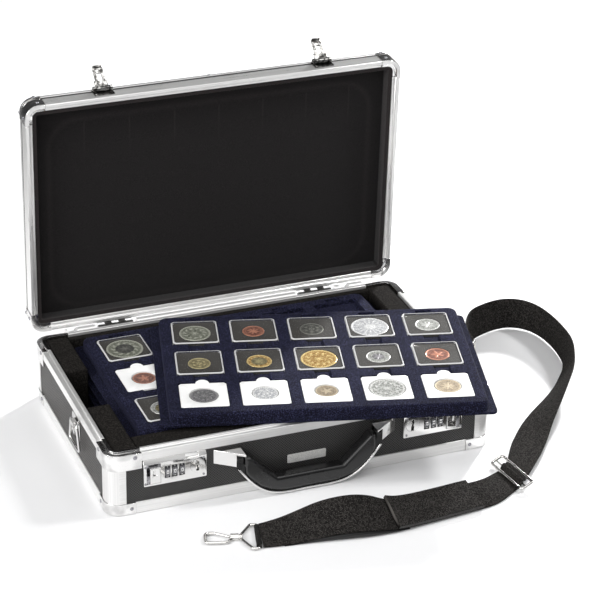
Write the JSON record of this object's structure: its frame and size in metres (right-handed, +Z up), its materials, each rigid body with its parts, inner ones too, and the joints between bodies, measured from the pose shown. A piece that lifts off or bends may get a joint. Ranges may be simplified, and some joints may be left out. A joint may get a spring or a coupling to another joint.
{
  "type": "coin case",
  "caption": "Hinged carrying case with combination locks, a drop handle and a shoulder strap, holding lift-out velvet trays of boxed and carded coins.",
  "frame": {"origin": "centre of the base's underside, on the surface it stands on", "axes": "+X to the right as seen from the front, +Y from the front to the hinge side, +Z up"},
  "size_m": [0.5931, 0.4301, 0.3658],
  "materials": {
    "aluminium": "brushed",
    "black_plastic": "fine grain",
    "card": "white, matt",
    "chrome": "polished",
    "clear": "clear plastic box",
    "coin": "struck, mixed metals",
    "dial": "polished, numbers filled dark",
    "floor_board": "textured board",
    "foam": "cut foam",
    "front_panel": "satin, fine diagonal diamond pattern",
    "gunmetal": "dark polished plating",
    "liner": "felt",
    "lock_chrome": "polished",
    "pad": "dense foam with webbing face",
    "rivet": "dark plated",
    "steel": "satin",
    "velvet": "flocked",
    "wall_panel": "satin, fine diagonal diamond pattern",
    "webbing": "woven webbing",
    "zinc": "die cast"
  },
  "bodies": {
    "base": {"base_front_panel": "front_panel", "base_wall_panels": "wall_panel", "base_floor_panel": "floor_board", "base_corner_posts": "aluminium", "base_bottom_frame": "aluminium", "base_rim_frame": "aluminium", "base_corner_caps": "chrome", "base_fasteners": "rivet", "base_wall_liner": "liner", "foam_blocks": "foam", "hinge_leaves_base": "zinc", "hinge_pins": "steel", "hinge_cover_rail": "aluminium", "lock_plates": "lock_chrome", "lock_bodies": "zinc", "name_plate_blank": "lock_chrome", "handle_brackets": "chrome", "ring_plates": "chrome", "strap_webbing": "webbing", "strap_slide_buckle": "gunmetal", "strap_loops": "gunmetal", "strap_pad": "pad"},
    "lid": {"hinge_leaves_lid": "zinc", "lid_rim_frame": "aluminium", "lid_back_frame": "aluminium", "lid_corner_caps": "chrome", "lid_back_panel": "front_panel", "lid_lining": "liner", "lid_rivets": "rivet", "hasp_brackets": "chrome"},
    "hasp_left": {"hasp_left": "chrome"},
    "hasp_right": {"hasp_right": "chrome"},
    "handle": {"handle_grip": "black_plastic", "handle_trim": "chrome"},
    "ring_left": {"ring_left": "chrome"},
    "ring_right": {"ring_right": "chrome"},
    "tray_1": {"tray_1": "velvet"},
    "tray_2": {"tray_2": "velvet"},
    "tray_3": {"tray_3": "velvet"},
    "tray_4": {"tray_4": "velvet", "tray_4_holders": "clear", "tray_4_coins": "coin"},
    "top_tray": {"top_tray": "velvet", "top_tray_capsules": "clear", "top_tray_coins": "coin", "top_tray_cards": "card"},
    "hook_left": {"snap_hook_left": "gunmetal"},
    "hook_right": {"snap_hook_right": "gunmetal"},
    "gate_left": {"snap_gate_left": "gunmetal"},
    "gate_right": {"snap_gate_right": "gunmetal"},
    "lock_cylinder_left": {"lock_cylinder_left": "chrome"},
    "lock_cylinder_right": {"lock_cylinder_right": "chrome"},
    "lock_slide_left": {"lock_slide_left": "lock_chrome"},
    "lock_slide_right": {"lock_slide_right": "lock_chrome"},
    "lock_dial_left_1": {"lock_dial_left_1": "dial"},
    "lock_dial_left_2": {"lock_dial_left_2": "dial"},
    "lock_dial_left_3": {"lock_dial_left_3": "dial"},
    "lock_dial_right_1": {"lock_dial_right_1": "dial"},
    "lock_dial_right_2": {"lock_dial_right_2": "dial"},
    "lock_dial_right_3": {"lock_dial_right_3": "dial"}
  },
  "joints": [
    {"name": "lid_hinge", "type": "hinge", "parent": "base", "child": "lid", "pos_m": [0, 0.1395, 0.066], "axis": [-1, 0, 0], "range_deg": [-87.9, 0]},
    {"name": "handle_hinge", "type": "hinge", "parent": "base", "child": "handle", "pos_m": [0, -0.145, 0.049], "axis": [-1, 0, 0], "range_deg": [-3, 95]},
    {"name": "hasp_left_hinge", "type": "hinge", "parent": "lid", "child": "hasp_left", "pos_m": [-0.124, 0.1479, 0.34459], "axis": [-1, 0, 0], "range_deg": [-142, 8]},
    {"name": "dial_left_1_turn", "type": "hinge", "parent": "base", "child": "lock_dial_left_1", "pos_m": [-0.1502, -0.1287, 0.0445], "axis": [1, 0, 0], "continuous": true},
    {"name": "dial_left_2_turn", "type": "hinge", "parent": "base", "child": "lock_dial_left_2", "pos_m": [-0.1425, -0.1287, 0.0445], "axis": [1, 0, 0], "continuous": true},
    {"name": "dial_left_3_turn", "type": "hinge", "parent": "base", "child": "lock_dial_left_3", "pos_m": [-0.1348, -0.1287, 0.0445], "axis": [1, 0, 0], "continuous": true},
    {"name": "key_left_turn", "type": "hinge", "parent": "base", "child": "lock_cylinder_left", "pos_m": [-0.1185, -0.13, 0.0455], "axis": [0, 1, 0], "range_deg": [0, 90]},
    {"name": "slide_left", "type": "slide", "parent": "base", "child": "lock_slide_left", "axis": [-1, 0, 0], "range_m": [0, 0.0032], "stiffness_N_per_m": 150},
    {"name": "hasp_right_hinge", "type": "hinge", "parent": "lid", "child": "hasp_right", "pos_m": [0.124, 0.1479, 0.34459], "axis": [-1, 0, 0], "range_deg": [-142, 8]},
    {"name": "dial_right_1_turn", "type": "hinge", "parent": "base", "child": "lock_dial_right_1", "pos_m": [0.1502, -0.1287, 0.0445], "axis": [1, 0, 0], "continuous": true},
    {"name": "dial_right_2_turn", "type": "hinge", "parent": "base", "child": "lock_dial_right_2", "pos_m": [0.1425, -0.1287, 0.0445], "axis": [1, 0, 0], "continuous": true},
    {"name": "dial_right_3_turn", "type": "hinge", "parent": "base", "child": "lock_dial_right_3", "pos_m": [0.1348, -0.1287, 0.0445], "axis": [1, 0, 0], "continuous": true},
    {"name": "key_right_turn", "type": "hinge", "parent": "base", "child": "lock_cylinder_right", "pos_m": [0.1185, -0.13, 0.0455], "axis": [0, 1, 0], "range_deg": [-90, 0]},
    {"name": "slide_right", "type": "slide", "parent": "base", "child": "lock_slide_right", "axis": [1, 0, 0], "range_m": [0, 0.0032], "stiffness_N_per_m": 150},
    {"name": "ring_left_swing", "type": "hinge", "parent": "base", "child": "ring_left", "pos_m": [-0.2152, -0.028, 0.054], "axis": [0, 1, 0], "range_deg": [0, 150]},
    {"name": "ring_right_swing", "type": "hinge", "parent": "base", "child": "ring_right", "pos_m": [0.2152, -0.028, 0.054], "axis": [0, -1, 0], "range_deg": [0, 3]},
    {"name": "tray_1_lift", "type": "slide", "parent": "base", "child": "tray_1", "axis": [0, 0, 1], "range_m": [0, 0.08]},
    {"name": "tray_2_lift", "type": "slide", "parent": "tray_1", "child": "tray_2", "axis": [0, 0, 1], "range_m": [0, 0.08]},
    {"name": "tray_3_lift", "type": "slide", "parent": "tray_2", "child": "tray_3", "axis": [0, 0, 1], "range_m": [0, 0.08]},
    {"name": "tray_4_lift", "type": "slide", "parent": "tray_3", "child": "tray_4", "axis": [0, 0, 1], "range_m": [0, 0.08]},
    {"name": "top_tray_swing", "type": "hinge", "parent": "tray_4", "child": "top_tray", "pos_m": [-0.1654, -0.2112, 0.072], "axis": [0, 0, 1], "range_deg": [0, 15.2]},
    {"name": "hook_left_swivel", "type": "hinge", "parent": "base", "child": "hook_left", "pos_m": [-0.096, -0.2155, 0.002], "axis": [-0.9623, 0.2721, 0], "continuous": true},
    {"name": "hook_right_swivel", "type": "hinge", "parent": "base", "child": "hook_right", "pos_m": [0.24616, -0.00585, 0.027], "axis": [-0.7413, -0.6712, 0], "range_deg": [-6, 6]},
    {"name": "gate_left_spring", "type": "hinge", "parent": "hook_left", "child": "gate_left", "pos_m": [-0.11001, -0.21029, 0.002], "axis": [0, 0, 1], "range_deg": [0, 32], "stiffness_Nm_per_rad": 0.01},
    {"name": "gate_right_spring", "type": "hinge", "parent": "hook_right", "child": "gate_right", "pos_m": [0.23512, -0.01585, 0.0282], "axis": [0.6712, -0.7413, 0], "range_deg": [0, 12], "stiffness_Nm_per_rad": 0.01}
  ],
  "couplings": [
    {"joint": "top_tray_swing", "follows": "lid_hinge", "ratio": -0.17019}
  ]
}
